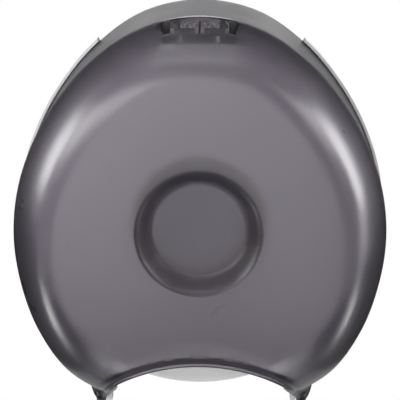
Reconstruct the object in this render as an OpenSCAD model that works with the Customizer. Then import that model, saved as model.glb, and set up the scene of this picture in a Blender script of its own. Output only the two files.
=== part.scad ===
// Wall dispenser for one jumbo bath tissue roll: smoke cover, back plate, spindle and key lock.
// X is to the right, +Y goes into the wall, +Z is up; the origin is on the wall at the spindle axis.

/* [Cover outline] */
// Radii of the outline at the crease, every 15 degrees from the top to the bottom
outline_radii = [153, 150.8, 143.6, 136.4, 131.8, 129.3, 128, 127.6, 129.2, 130.6, 126.5, 124, 124]; // [100:0.1:180]
// Height of the outline centre
centre_z = -16; // [-40:1:20]
// Wall of the cover
cover_wall = 2.4; // [1.8:0.1:4]
// Depth of the whole cover from the wall
cover_depth = 142; // [110:1:170]
// Distance of the cover's rear rim from the wall
rim_gap = 3.2; // [2.5:0.1:6]
// Distance of the crease from the wall
crease_y = 84; // [60:1:100]
// Height of the small step at the crease
crease_step = 0.6; // [0.3:0.1:1.5]
// Draft of the skirt at its sides, measured at the rear rim
side_draft = 0.4; // [0:0.1:4]
// Extra draft of the skirt at its top
top_draft = 2; // [0:0.1:4]
// Share of the outline that the front face takes
face_share = 0.8; // [0.6:0.01:0.9]
// Crown of the front face
face_crown = 7; // [2:0.5:15]
// Tilt of the shoulder where it leaves the face
shoulder_start = 25; // [5:1:45]
// Tilt of the shoulder where it meets the crease
shoulder_end = 82; // [70:1:88]

/* [Bottom arch and horns] */
// Radius of the arch cut into the bottom
arch_r = 130; // [90:1:200]
// Height of the arch's top at the front face
arch_z = -91.6; // [-120:0.1:-70]
// Fall of the arch towards the wall
arch_tilt = 18; // [0:0.1:30]
// Height of the thick lip along the arch
lip_h = 4; // [2:0.5:8]
// How far the lip stands out of the face
lip_out = 0.7; // [0.2:0.1:2]
// How far the lip reaches inside the cover
lip_in = 5; // [3:0.5:10]
// Length of the horns beyond the lower curve
horn_len = 35.5; // [10:1:40]

/* [Centre dimple] */
// Radius of the dimple at the face
dimple_r = 43.5; // [25:0.5:60]
// Radius of the flat disc in the dimple
disc_r = 32; // [15:1:50]
// Depth of the dimple
dimple_depth = 12; // [4:1:20]

/* [Key slots and lock] */
// Distance of each key slot from the middle
slot_x = 22; // [18:0.5:30]
// Width of a key slot
slot_w = 5.2; // [4:0.1:8]
// Length of a key slot from front to back
slot_len = 21; // [10:1:26]
// Depth of the lock tray's underside below the top of the crease
lock_drop = 17.3; // [15:0.1:25]
// Half width of the lock tray
tray_half = 26; // [25:0.5:32]
// Thickness of the lock tray's floor and walls
tray_t = 1.6; // [1.2:0.1:3]
// Travel of each latch from withdrawn to locked
latch_travel = 3.2; // [2:0.1:5]
// Running gap around the sliding and swinging pieces
slide_gap = 0.4; // [0.3:0.05:1]
// Mean radius of the latch springs
spring_r = 2.1; // [1.5:0.1:3]
// Radius of the spring wire
wire_r = 0.35; // [0.2:0.05:0.6]
// Turns of each latch spring
spring_turns = 2; // [2:1:8]

/* [Back plate] */
// Thickness of the back plate
plate_t = 2.6; // [2:0.1:5]
// Depth of the side cheeks from the wall
cheek_depth = 12; // [6:1:20]
// Thickness of the side cheeks
cheek_t = 1.8; // [1.2:0.1:3]
// Gap between a cheek and the cover
cheek_gap = 0.8; // [0.5:0.1:2]
// Spacing of the wall screws across
screw_dx = 100; // [60:1:140]
// Spacing of the wall screws up and down
screw_dz = 120; // [60:1:160]
// Radius of the wall screw holes
screw_hole_r = 2.8; // [2:0.1:4]
// Height of the stiffening ribs and screw bosses from the wall
rib_h = 6.5; // [4:0.5:9]
// Thickness of the stiffening ribs
rib_t = 3; // [2:0.5:5]
// Width of the tab over the top
top_tab_w = 21; // [10:1:40]
// Height of the top tab's end
top_tab_z = 141; // [138:0.5:145]

/* [Hinge] */
// Distance of the hinge axis from the wall
hinge_y = 12.5; // [10:0.5:16]
// Height of the hinge axis
hinge_z = -151.5; // [-160:0.5:-130]
// Radius of the hinge ears on the back plate
ear_r = 4.5; // [4:0.1:7]
// Inner side of a hinge ear
ear_x0 = 65.5; // [56:0.5:67]
// Outer side of a hinge ear
ear_x1 = 69.5; // [68:0.5:71]
// Radius of the hinge pins
pin_r = 2.5; // [2:0.1:4]
// Radial clearance of the pins in the cover
pin_fit = 0.06; // [0.01:0.01:0.1]
// Outer end of a hinge pin
pin_x1 = 76.4; // [74:0.1:80]
// Radius of the hinge pins' heads
pin_head_r = 3.2; // [3:0.1:5]

/* [Spindle and roll] */
// Radius of the spindle post
post_r = 15; // [10:1:20]
// Radial clearance of the hub on the post
hub_fit = 0.06; // [0.01:0.01:0.1]
// Radius of the hole in the paper core
core_r = 42.8; // [38:0.1:46]
// Wall of the sleeve that fills the paper core
sleeve_t = 5; // [3:0.5:8]
// Wall of the paper core
core_wall = 1.5; // [1:0.1:3]
// Radius of the paper roll
roll_r = 113; // [80:1:115]
// Distance of the roll's rear end from the wall
roll_back = 12.5; // [12:0.5:20]
// Distance of the roll's front end from the wall
roll_front = 106; // [95:1:110]

/* [Hidden] */
$fn = 96;
seg = 72;                                   // points round the outline
shoulder_steps = 8;
spring_steps = 20;                          // points in one turn of a spring
wire_sides = 6;
dimple_edge = face_y(dimple_r / outline_radii[6]);
horn_at = 27.5;                             // outline angle of a horn from straight down
horn_fade = 15;                             // outline angle over which a horn dies away
horn_front = 72;                            // distance from the wall where the horns begin
top_z = centre_z + outline_radii[0];        // top of the crease
lock_floor = top_z - lock_drop;             // underside of the lock tray
tray_y0 = crease_y + 4;                     // rear and front of the lock tray
tray_y1 = tray_y0 + 19.5;
lock_screw = [12, crease_y + 19.8];         // place of a lock screw across and from the wall
slot_y0 = crease_y + 3;
slot_y1 = slot_y0 + slot_len;
latch_x0 = 3.2;                             // sides of a latch block
latch_x1 = 16.2;
latch_y0 = crease_y;                        // rear and front of a latch block
latch_y1 = latch_y0 + 14;
latch_z0 = lock_floor + tray_t + 0.3;       // underside of a latch block
latch_z1 = latch_z0 + 7.2;
guide_y0 = latch_y0 + 6;                    // guide rib of the tray in the latch's groove
guide_y1 = guide_y0 + 2;
guide_z = latch_z0 + 0.9;
arm_z0 = latch_z1 + 0.5;                    // latch arms run under the cover's top
arm_z1 = arm_z0 + 2.4;
arm_x0 = 14;
arm_x1 = 17.2;
nose_x = arm_x1 + 3.4;                      // tip of a withdrawn latch nose
keeper_y = 10.4;                            // rear of the keeper plate
keeper_t = 1.6;
nose_y1 = keeper_y - 0.6;                   // front and rear of a latch nose
nose_y0 = nose_y1 - 2.8;
keeper_z = arm_z0 - 0.7;                    // lower edge of the keeper's window
keeper_x = 27;
keeper_arm = keeper_x - 2.7;                // inner side of the keeper's arms
keeper_screw = [12, keeper_z - 5.6];        // place of a keeper screw across and up
keeper_win = nose_x + slide_gap;            // half width of the keeper's window
spring_y = latch_y0 - 7;
spring_z = arm_z0 + 0.5;
spring_seat = 3.2;                          // half width of a spring's seat
spring_x0 = 0.6;                            // the springs stand on the tray's centre rib
spring_x1 = arm_x0 - 0.6;
screw_r = 1.5;                              // screws of the lock and the keeper
screw_head_r = 2.8;
screw_head_h = 1.8;
boss_r = 3.4;
horn_boss_x = ear_x1 + slide_gap + 0.2;
flange_r = 33;
pad_h = 3;                                  // pad under the spindle flange
post_flange = 9;                            // distance of the spindle flange's front from the wall
plate_low = -112;                           // lower edge of the plate in the middle
rib_x = 30;
hub_back = post_flange + 1.6;
post_end = 100;
spindle_screw_r = 1.7;
spindle_screw_at = 27;                      // circle of the spindle screws
cap_r = 36;                                 // retaining cap, which goes through the sleeve
cap_t = 3.6;
cap_screw_r = 2;
hub_tube_r = 19;
hub_flange_r = 50;
roll_edge = 2;                              // soft corner of the roll's ends
cheek_low = -20;                            // outline angles of a cheek's ends, up from the middle
cheek_top = 60;

function clamp01(v) = min(1, max(0, v));

// ---- cover surface -------------------------------------------------------------------------
// Each profile row is [share of the outline, outward offset, distance from the wall,
// outward part of the normal, forward part of the normal].
function face_y(s) = cover_depth - face_crown * pow(s / face_share, 2);
function shoulder_row(i) =
    let (f = shoulder_start + (shoulder_end - shoulder_start) * i / shoulder_steps,
        span_r = (1 - face_share) * (outline_radii[0] + outline_radii[6]) / 2,
        span_y = face_y(face_share) - crease_y,
        part_r = (sin(f) - sin(shoulder_start)) / (sin(shoulder_end) - sin(shoulder_start)),
        part_y = (cos(shoulder_start) - cos(f)) / (cos(shoulder_start) - cos(shoulder_end)),
        nr = sin(f) / span_r,
        ny = cos(f) / span_y,
        n = norm([nr, ny]))
    [face_share + (1 - face_share) * part_r, 0, face_y(face_share) - span_y * part_y, nr / n, ny / n];
skirt_rows = [for (y = [rim_gap, 12, 24, 38, 54, 72, crease_y - 1.2])
    [1, -crease_step * (y - rim_gap) / (crease_y - 1.2 - rim_gap), y, 1, 0]];
shoulder_rows = [for (i = [shoulder_steps : -1 : 0]) shoulder_row(i)];
face_rows = [for (s = [0.7, 0.54, 0.38, 0.15]) [s, 0, face_y(s), 0, 1]];
profile = concat(skirt_rows, shoulder_rows, face_rows);

// Outline radius at angle a from the top, a smooth curve through the radii.
function radius_at(k) = outline_radii[abs(k) > 12 ? 24 - abs(k) : abs(k)];
function outline_r(a) =
    let (b = a > 180 ? 360 - a : a, k = min(11, floor(b / 15)), f = b / 15 - k,
        r0 = radius_at(k - 1), r1 = radius_at(k), r2 = radius_at(k + 1), r3 = radius_at(k + 2))
    r1 + 0.5 * f * (r2 - r0 + f * (2 * r0 - 5 * r1 + 4 * r2 - r3 + f * (3 * (r1 - r2) + r3 - r0)));

// Share of a horn at outline angle a and distance y from the wall.
function horn(a, y) =
    let (side = clamp01((abs(180 - a) < horn_at ? 0 : abs(180 - a) - horn_at) / horn_fade))
    (0.5 + 0.5 * cos(180 * side)) * pow(clamp01((horn_front - y) / (horn_front - 10)), 2);
function draft(a, y) =
    clamp01((crease_y - y) / (crease_y - rim_gap)) * (side_draft + top_draft * pow(max(0, cos(a)), 4));
function outline_point(a, s, out, y) =
    let (r = outline_r(a) * s + out + draft(a, y) + horn_len * horn(a, y))
    [r * sin(a), -y, centre_z + r * cos(a)];
function ring(row, off, y) = [for (i = [0 : seg - 1])
    outline_point(360 - 360 * i / seg, row[0], row[1] + off * row[3], y)];

// Closed body inside the cover surface moved outwards by off, from profile row first on,
// with its rear at y_back.
module dome(off, y_back, first = 0) {
    rows = [for (k = [first : len(profile) - 1])
        ring(profile[k], off, k == first ? y_back : profile[k][2] + off * profile[k][4])];
    n = len(rows);
    pts = concat([for (r = rows) each r], [[0, -(cover_depth + off), centre_z]]);
    sides = [for (k = [0 : n - 2], i = [0 : seg - 1])
        let (j = (i + 1) % seg) each [
            [k * seg + i, (k + 1) * seg + i, (k + 1) * seg + j],
            [k * seg + i, (k + 1) * seg + j, k * seg + j]]];
    nose = [for (i = [0 : seg - 1]) [(n - 1) * seg + i, n * seg, (n - 1) * seg + (i + 1) % seg]];
    polyhedron(points = pts, faces = concat(sides, nose, [[for (i = [0 : seg - 1]) i]]), convexity = 6);
}

// Round bar along the fall of the arch.
module arch_bar(r) {
    translate([0, 4 - cover_depth, arch_z - arch_r / cos(arch_tilt)])
        rotate([-90 - arch_tilt, 0, 0])
            translate([0, 0, -40])
                cylinder(r = r, h = 240, $fn = 180);
}

// Turned body round the spindle axis; the outline holds [radius, distance from the wall].
module turned(outline) {
    rotate([90, 0, 0]) rotate_extrude() polygon(outline);
}

module cyl_y(r, y0, y1) {
    translate([0, -y0, 0]) rotate([90, 0, 0]) cylinder(r = r, h = y1 - y0);
}

module cyl_x(r, x0, x1) {
    translate([x0, 0, 0]) rotate([0, 90, 0]) cylinder(r = r, h = x1 - x0);
}

module box(x0, x1, y0, y1, z0, z1) {
    translate([x0, -y1, z0]) cube([x1 - x0, y1 - y0, z1 - z0]);
}

module both_sides() {
    children();
    mirror([1, 0, 0]) children();
}

// ---- cover ---------------------------------------------------------------------------------
// Soft wall of the dimple, from the disc out to the face, moved out and back by t.
function dimple_wall(t) = [for (i = [0 : 8])
    [disc_r + (dimple_r - disc_r) * i / 8 + t, dimple_edge - dimple_depth * (0.5 + 0.5 * cos(22.5 * i)) - t]];

module dimple_cut() {
    wall = dimple_wall(0);
    turned(concat([[0, wall[0][1]]], wall, [[dimple_r + 4, dimple_edge + 0.8],
        [dimple_r + 4, cover_depth + 4], [0, cover_depth + 4]]));
}

module dimple_backing() {
    wall = dimple_wall(cover_wall);
    turned(concat([[0, wall[0][1]]], wall, [[dimple_r + cover_wall, cover_depth + 2], [0, cover_depth + 2]]));
}

module cover_skin() {
    difference() {
        dome(0, rim_gap);
        difference() {
            dome(-cover_wall, -2);
            dimple_backing();
        }
    }
}

module arch_lip() {
    intersection() {
        difference() {
            dome(lip_out, 60, len(skirt_rows) - 1);
            dome(-lip_in, 50, len(skirt_rows) - 1);
        }
        arch_bar(arch_r + lip_h);
        box(-72, 72, 60, 160, -150, -60);
    }
}

module cover_shell() color([0.16, 0.15, 0.17, 0.8]) {
    difference() {
        union() {
            difference() {
                union() {
                    cover_skin();
                    arch_lip();
                }
                arch_bar(arch_r);
                dimple_cut();
                both_sides() box(slot_x - slot_w / 2, slot_x + slot_w / 2, slot_y0, slot_y1,
                    lock_floor, top_z + 10);
            }
            both_sides() translate([0, -hinge_y, hinge_z]) cyl_x(ear_r + 0.5, horn_boss_x, pin_x1 + 0.6);
            at_lock_screws() translate([0, 0, lock_floor + tray_t]) cylinder(r = boss_r, h = 9);
        }
        both_sides() translate([0, -hinge_y, hinge_z]) {
            cyl_x(pin_r + pin_fit, horn_boss_x - 5, 90);
            cyl_x(pin_head_r + slide_gap, pin_x1 - 0.7, 95);
            cyl_x(ear_r + slide_gap, ear_x0 - 2, ear_x1 + slide_gap);
        }
        at_lock_screws() translate([0, 0, lock_floor]) cylinder(r = screw_r, h = 8);
    }
}

// ---- lock ----------------------------------------------------------------------------------
module at_lock_screws() {
    both_sides() translate([lock_screw[0], -lock_screw[1], 0]) children();
}

module lock_tray() color([0.5, 0.5, 0.52]) {
    difference() {
        union() {
            box(-tray_half, tray_half, tray_y0, tray_y1, lock_floor, lock_floor + tray_t);
            box(-tray_half, tray_half, latch_y1 + slide_gap, latch_y1 + slide_gap + tray_t,
                lock_floor, lock_floor + 6.3);
            box(-tray_half, tray_half, guide_y0, guide_y1, lock_floor, guide_z);
            both_sides() key_stop();
            spring_rib();
        }
        at_lock_screws() translate([0, 0, lock_floor - 1]) cylinder(r = screw_r + 0.1, h = 4);
    }
}

// Wall behind a key slot, clear of the locked latch.
module key_stop() {
    box(latch_x1 + latch_travel + slide_gap, slot_x + slot_w / 2 + 1, slot_y0 + 0.2, slot_y0 + 1.4,
        lock_floor, arm_z0 + 1);
}

// Rib in the middle of the tray, which carries the inner ends of the springs.
module spring_rib() {
    rear = spring_y - 3.5;
    front = tray_y0 + 15;
    rotate([90, 0, -90]) translate([0, 0, -spring_x0]) linear_extrude(2 * spring_x0)
        polygon([[front, lock_floor], [tray_y0, lock_floor], [latch_y0 - 2, spring_z - 2.6],
            [rear, spring_z - 2.6], [rear, spring_z + 2.6], [latch_y0 + 6, spring_z + 1.8],
            [front, spring_z - 2.3]]);
}

module lock_screws() color([0.7, 0.7, 0.72]) {
    at_lock_screws() {
        translate([0, 0, lock_floor - screw_head_h]) cylinder(r = screw_head_r, h = screw_head_h);
        translate([0, 0, lock_floor - 1]) cylinder(r = screw_r, h = 8);
    }
}

module latch() {
    difference() {
        union() {
            box(latch_x0, latch_x1, latch_y0, latch_y1, latch_z0, latch_z1);
            box(arm_x0, arm_x1, latch_y0, latch_y0 + 3, latch_z0 + 4, arm_z1);
            box(arm_x0, arm_x1, nose_y0, latch_y0 + 1, arm_z0, arm_z1);
            box(arm_x0, nose_x, nose_y0, nose_y1, arm_z0, arm_z1);
            box(spring_x1, arm_x1, spring_y - spring_seat, spring_y + spring_seat, spring_z - 2.4, arm_z1);
        }
        box(0, 20, guide_y0 - slide_gap, guide_y1 + slide_gap, latch_z0 - 1, guide_z + slide_gap);
    }
}

module latch_right() color([0.12, 0.12, 0.13]) latch();

module latch_left() color([0.12, 0.12, 0.13]) mirror([1, 0, 0]) latch();

// Point on the wire of a spring, f of the way along it, at angle a round the wire.
function wire_point(f, a) =
    let (turn = 360 * spring_turns * f, r = spring_r + wire_r * cos(a))
    [spring_x0 + wire_r + (spring_x1 - spring_x0 - 2 * wire_r) * f + wire_r * sin(a),
        r * cos(turn), r * sin(turn)];

module coil() {
    n = spring_turns * spring_steps;
    pts = [for (i = [0 : n], k = [0 : wire_sides - 1]) wire_point(i / n, 360 * k / wire_sides)];
    wall = [for (i = [0 : n - 1], k = [0 : wire_sides - 1])
        let (a = i * wire_sides + k, b = i * wire_sides + (k + 1) % wire_sides) each [
            [a, b, b + wire_sides], [a, b + wire_sides, a + wire_sides]]];
    polyhedron(points = pts, faces = concat(wall, [[for (k = [wire_sides - 1 : -1 : 0]) k]],
        [[for (k = [0 : wire_sides - 1]) n * wire_sides + k]]), convexity = 8);
}

module spring_right() translate([0, -spring_y, spring_z]) coil();

module latch_spring_right() color([0.75, 0.76, 0.78]) spring_right();

module latch_spring_left() color([0.75, 0.76, 0.78]) mirror([1, 0, 0]) spring_right();

// ---- back plate ----------------------------------------------------------------------------
// Point of the cover's rear rim without its horns, moved outwards by out, at angle t up from the right.
function rim_point(t, out) =
    let (a = t > 90 ? 450 - t : 90 - t, r = outline_r(a) + draft(a, rim_gap) + out)
    [r * sin(a), centre_z + r * cos(a)];
function rim_arc(t0, t1, out, n) = [for (i = [0 : n]) rim_point(t0 + (t1 - t0) * i / n, out)];

module cheek_band(t0, t1) {
    polygon(concat(rim_arc(t0, t1, cheek_gap, 28), rim_arc(t1, t0, cheek_gap + cheek_t, 28)));
}

module plate_2d() {
    difference() {
        union() {
            difference() {
                polygon([for (i = [0 : 3 : 357]) rim_point(i, -0.6)]);
                translate([0, plate_low - arch_r]) circle(r = arch_r, $fn = 180);
                translate([-200, plate_low - 208]) square([400, 200]);
            }
            both_sides() polygon([[ear_x0 - 6, plate_low + 17], [ear_x0 - 6, plate_low - 12],
                [ear_x0, hinge_z + 22], [ear_x0, hinge_z - ear_r + 0.5],
                [ear_x1, hinge_z - ear_r + 0.5], [ear_x1 + 0.5, hinge_z + 12.5],
                [ear_x1 + 12, hinge_z + 36.5], [ear_x1 + 12, plate_low + 17]]);
            both_sides() polygon(concat(rim_arc(cheek_low, cheek_top, -3, 28),
                rim_arc(cheek_top, cheek_low, cheek_gap + cheek_t, 28)));
            translate([-top_tab_w / 2, lock_floor]) square([top_tab_w, top_tab_z - lock_floor]);
        }
    }
}

module sheet(y0, y1) {
    translate([0, -y0, 0]) rotate([90, 0, 0]) linear_extrude(y1 - y0) children();
}

module back_plate() color([0.8, 0.8, 0.81]) {
    difference() {
        union() {
            sheet(0, plate_t) plate_2d();
            sheet(0, cheek_depth) both_sides() cheek_band(cheek_low, cheek_top);
            cyl_y(flange_r + 3, 0, pad_h);
            both_sides() box(rib_x, rib_x + rib_t, 0, rib_h, plate_low + 12, lock_floor - 24.7);
            for (z = [-screw_dz / 2, screw_dz / 2])
                box(-screw_dx, screw_dx, 0, rib_h, z - rib_t / 2, z + rib_t / 2);
            at_wall_screws() cyl_y(screw_hole_r + 5.2, 0, rib_h);
            both_sides() hinge_ear();
            keeper_boss();
        }
        at_wall_screws() translate([0, 1, 0]) cyl_y(screw_hole_r, 0, 12);
        both_sides() translate([0, -hinge_y, hinge_z]) cyl_x(pin_r, ear_x0 - 1, ear_x1 + 1);
        at_keeper_screws() cyl_y(screw_r, keeper_y - 6, keeper_y + 1.6);
        spindle_holes();
        cyl_y(flange_r + slide_gap, pad_h, keeper_y + 1.6);
        box(-keeper_arm, keeper_arm, plate_t + 0.6, keeper_y + 1, keeper_z, top_tab_z + 9);
    }
}

module at_wall_screws() {
    both_sides() for (z = [-screw_dz / 2, screw_dz / 2]) translate([screw_dx / 2, 0, z]) children();
}

module at_keeper_screws() {
    both_sides() translate([keeper_screw[0], 0, keeper_screw[1]]) children();
}

module hinge_ear() {
    translate([0, -hinge_y, hinge_z]) cyl_x(ear_r, ear_x0, ear_x1);
    box(ear_x0, ear_x1, 0, hinge_y, hinge_z - ear_r + 0.5, hinge_z + ear_r);
    rotate([90, 0, 90]) translate([0, 0, ear_x0]) linear_extrude(ear_x1 - ear_x0 - 1)
        polygon([[0, hinge_z], [-hinge_y - 3, hinge_z + 4], [-8, plate_low], [0, plate_low + 12]]);
}

module keeper_boss() {
    box(-keeper_x, keeper_x, 0, keeper_y, keeper_z - 12.1, keeper_z);
    both_sides() box(keeper_arm, keeper_x, 0, keeper_y, keeper_z - 12.1, keeper_z + 2.8);
}

module spindle_holes() {
    at_spindle_screws() cyl_y(spindle_screw_r, -1, 12);
}

module keeper_plate() color([0.72, 0.73, 0.75]) {
    difference() {
        box(-keeper_x, keeper_x, keeper_y, keeper_y + keeper_t, keeper_z - 11.6, keeper_z + 2.8);
        box(-keeper_win, keeper_win, keeper_y - 1, keeper_y + 5, keeper_z, keeper_z + 12);
        at_keeper_screws() cyl_y(screw_r, keeper_y - 1, keeper_y + 5);
    }
}

module keeper_screws() color([0.7, 0.7, 0.72]) {
    at_keeper_screws() {
        cyl_y(screw_r, keeper_y - 6, keeper_y + keeper_t + 0.5);
        cyl_y(screw_head_r, keeper_y + keeper_t, keeper_y + keeper_t + screw_head_h);
    }
}

// ---- hinge pins ----------------------------------------------------------------------------
module hinge_pin() {
    translate([0, -hinge_y, hinge_z]) {
        cyl_x(pin_r, ear_x0, pin_x1);
        translate([pin_x1 - 0.2, 0, 0]) rotate([0, 90, 0])
            cylinder(r1 = pin_head_r, r2 = pin_head_r - 1, h = 1.4);
    }
}

module hinge_pin_right() color([0.1, 0.1, 0.11]) hinge_pin();

module hinge_pin_left() color([0.1, 0.1, 0.11]) mirror([1, 0, 0]) hinge_pin();

// ---- spindle -------------------------------------------------------------------------------
module at_spindle_screws() {
    for (a = [30, 150, 270]) rotate([0, a, 0]) translate([spindle_screw_at, 0, 0]) children();
}

module spindle_post() color([0.78, 0.78, 0.8]) {
    difference() {
        turned([[0, pad_h], [flange_r, pad_h], [flange_r, post_flange - 2], [flange_r - 2, post_flange],
            [post_r, post_flange], [post_r, post_end], [0, post_end]]);
        at_spindle_screws() cyl_y(spindle_screw_r, 0, 12);
        cyl_y(cap_screw_r, post_end - 20, post_end + 2);
    }
}

module spindle_screws() color([0.7, 0.7, 0.72]) {
    at_spindle_screws() {
        cyl_y(spindle_screw_r, 0.6, post_flange + 0.4);
        cyl_y(spindle_screw_r + 1.3, post_flange, post_flange + 1.3);
    }
}

module drag_washer() color([0.75, 0.76, 0.78]) {
    turned([[post_r, post_flange], [post_r + 7, post_flange], [post_r + 7, hub_back - 0.4],
        [post_r, hub_back - 0.4]]);
}

module retaining_cap() color([0.78, 0.78, 0.8]) {
    turned([[cap_screw_r, post_end], [cap_r, post_end], [cap_r, post_end + cap_t - 1.2],
        [cap_r - 1.5, post_end + cap_t], [cap_screw_r, post_end + cap_t]]);
}

module cap_screw() color([0.7, 0.7, 0.72]) {
    cyl_y(cap_screw_r, post_end - 18, post_end + cap_t + 0.4);
    turned([[0, post_end + cap_t], [5, post_end + cap_t], [4.2, post_end + cap_t + 2],
        [0, post_end + cap_t + 2.4]]);
}

module core_hub() color([0.6, 0.6, 0.62]) {
    bore = post_r + hub_fit;
    end = post_end - 0.4;
    turned([[bore, hub_back], [hub_flange_r, hub_back], [hub_flange_r, roll_back],
        [hub_tube_r, roll_back], [hub_tube_r, end], [bore, end]]);
    for (a = [0 : 60 : 300]) rotate([0, a, 0])
        box(hub_tube_r - 0.5, core_r - sleeve_t - 0.03, roll_back - 0.5, end - 4, -1.2, 1.2);
}

module core_sleeve() color([0.55, 0.56, 0.58]) {
    turned([[core_r - sleeve_t, roll_back], [core_r, roll_back], [core_r, post_end],
        [core_r - 2, post_end + 2], [core_r - sleeve_t, post_end + 2]]);
}

module paper_core() color([0.66, 0.55, 0.42]) {
    turned([[core_r, roll_back], [core_r + core_wall, roll_back],
        [core_r + core_wall, roll_front], [core_r, roll_front]]);
}

module paper_roll() color([0.95, 0.95, 0.94]) {
    turned([[core_r + core_wall, roll_back], [roll_r - roll_edge, roll_back],
        [roll_r, roll_back + roll_edge], [roll_r, roll_front - roll_edge],
        [roll_r - roll_edge, roll_front], [core_r + core_wall, roll_front]]);
}

back_plate();
keeper_plate();
keeper_screws();
spindle_post();
spindle_screws();
drag_washer();
retaining_cap();
cap_screw();
hinge_pin_left();
hinge_pin_right();
core_hub();
core_sleeve();
paper_core();
paper_roll();
cover_shell();
lock_tray();
lock_screws();
latch_left();
latch_right();
latch_spring_left();
latch_spring_right();
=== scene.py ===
import math
import bpy
import bmesh
from mathutils import Matrix, Vector


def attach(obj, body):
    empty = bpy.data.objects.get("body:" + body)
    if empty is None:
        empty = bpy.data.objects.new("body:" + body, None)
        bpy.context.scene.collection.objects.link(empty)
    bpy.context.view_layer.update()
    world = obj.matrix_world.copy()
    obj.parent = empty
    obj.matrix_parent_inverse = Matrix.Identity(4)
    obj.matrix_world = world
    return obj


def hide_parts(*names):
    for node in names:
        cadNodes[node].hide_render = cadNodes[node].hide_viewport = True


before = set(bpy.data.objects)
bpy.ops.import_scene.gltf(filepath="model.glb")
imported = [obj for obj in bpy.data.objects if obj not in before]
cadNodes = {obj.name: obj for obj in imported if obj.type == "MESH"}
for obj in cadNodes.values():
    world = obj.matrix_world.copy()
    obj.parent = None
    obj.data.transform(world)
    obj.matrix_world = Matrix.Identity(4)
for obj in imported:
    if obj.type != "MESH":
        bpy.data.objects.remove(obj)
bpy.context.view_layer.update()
mm = 0.001                                             # Blender works in metres, sizes below are in mm
print("frame loaded:", len(cadNodes), "nodes")


def sinDeg(a):
    return math.sin(math.radians(a))


def cosDeg(a):
    return math.cos(math.radians(a))


def clamp(v):
    return min(1.0, max(0.0, v))


def smooth(v):
    v = clamp(v)
    return v * v * (3 - 2 * v)


def bezier(p0, p1, p2, t):
    return (1 - t) ** 2 * p0 + 2 * t * (1 - t) * p1 + t * t * p2


# makes the mesh a piece; edges bent by more than sharp degrees stay crisp
def addPiece(name, bm, body, material, replaced=(), sharp=38):
    for f in bm.faces:
        f.smooth = True
    for e in bm.edges:
        e.smooth = not (len(e.link_faces) == 2 and e.calc_face_angle(0) > math.radians(sharp))
    mesh = bpy.data.meshes.new(name)
    bm.to_mesh(mesh)
    bm.free()
    piece = bpy.data.objects.new(name, mesh)
    bpy.context.scene.collection.objects.link(piece)
    mesh.materials.append(material)
    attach(piece, body)
    if replaced:
        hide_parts(*replaced)
    return piece


def bevelEdges(bm, edges, width, segments=2):
    bmesh.ops.bevel(bm, geom=edges, offset=width * mm, offset_type="OFFSET", segments=segments,
                    profile=0.5, affect="EDGES", clamp_overlap=True, material=-1)


def bevelSharp(bm, width, segments=2, angle=40):
    bm.normal_update()
    sharp = [e for e in bm.edges if len(e.link_faces) == 2 and e.calc_face_angle(0) > math.radians(angle)]
    bevelEdges(bm, sharp, width, segments)


# spins a closed outline of (radius, distance from the wall) about the spindle axis
def spinOutline(bm, outline, steps=96):
    verts = [bm.verts.new((r * mm, -y * mm, 0)) for r, y in outline]
    edges = [bm.edges.new((v, verts[(i + 1) % len(verts)])) for i, v in enumerate(verts)]
    bmesh.ops.spin(bm, geom=verts + edges, cent=(0, 0, 0), axis=(0, 1, 0), dvec=(0, 0, 0),
                   angle=2 * math.pi, steps=steps, use_merge=True, use_duplicate=False)
    bmesh.ops.remove_doubles(bm, verts=bm.verts, dist=1e-6)
    bmesh.ops.delete(bm, geom=[f for f in bm.faces if f.calc_area() < 1e-14], context="FACES")
    bmesh.ops.recalc_face_normals(bm, faces=bm.faces)


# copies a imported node, merges its loose triangles and rounds its edges
def roundedCopy(name, node, body, slot, material, width):
    bm = bmesh.new()
    bm.from_mesh(cadNodes[node].data)
    bmesh.ops.remove_doubles(bm, verts=bm.verts, dist=2e-6)
    bmesh.ops.dissolve_limit(bm, angle_limit=math.radians(0.6), use_dissolve_boundaries=False,
                             verts=bm.verts, edges=bm.edges, delimit=set())
    bevelSharp(bm, width)
    addPiece(name, bm, body, material, (node,))


def link(tree, a, b):
    tree.links.new(a, b)


# empty material with one shader that reads Object coordinates
def newMaterial(name):
    material = bpy.data.materials.new(name)
    material.use_nodes = True
    tree = material.node_tree
    tree.nodes.clear()
    out = tree.nodes.new("ShaderNodeOutputMaterial")
    shader = tree.nodes.new("ShaderNodeBsdfPrincipled")
    link(tree, shader.outputs["BSDF"], out.inputs["Surface"])
    coords = tree.nodes.new("ShaderNodeTexCoord")
    return material, tree, shader, coords.outputs["Object"], out


def noiseNode(tree, coords, scale, detail=3.0, rough=0.5, stretch=None):
    source = coords
    if stretch:
        mapping = tree.nodes.new("ShaderNodeMapping")
        mapping.inputs["Scale"].default_value = stretch
        link(tree, coords, mapping.inputs["Vector"])
        source = mapping.outputs["Vector"]
    node = tree.nodes.new("ShaderNodeTexNoise")
    node.inputs["Scale"].default_value = scale
    node.inputs["Detail"].default_value = detail
    node.inputs["Roughness"].default_value = rough
    link(tree, source, node.inputs["Vector"])
    return node.outputs["Fac"]


# colour between two tints, by a factor from noise
def tintBetween(tree, fac, dark, light):
    ramp = tree.nodes.new("ShaderNodeValToRGB")
    ramp.color_ramp.elements[0].position = 0.3
    ramp.color_ramp.elements[1].position = 0.7
    ramp.color_ramp.elements[0].color = (*dark, 1)
    ramp.color_ramp.elements[1].color = (*light, 1)
    link(tree, fac, ramp.inputs["Fac"])
    return ramp.outputs["Color"]


# value between two limits, by a factor from noise
def rangeBetween(tree, fac, low, high):
    node = tree.nodes.new("ShaderNodeMapRange")
    node.inputs["From Min"].default_value = 0.25
    node.inputs["From Max"].default_value = 0.75
    node.inputs["To Min"].default_value = low
    node.inputs["To Max"].default_value = high
    link(tree, fac, node.inputs["Value"])
    return node.outputs["Result"]


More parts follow.
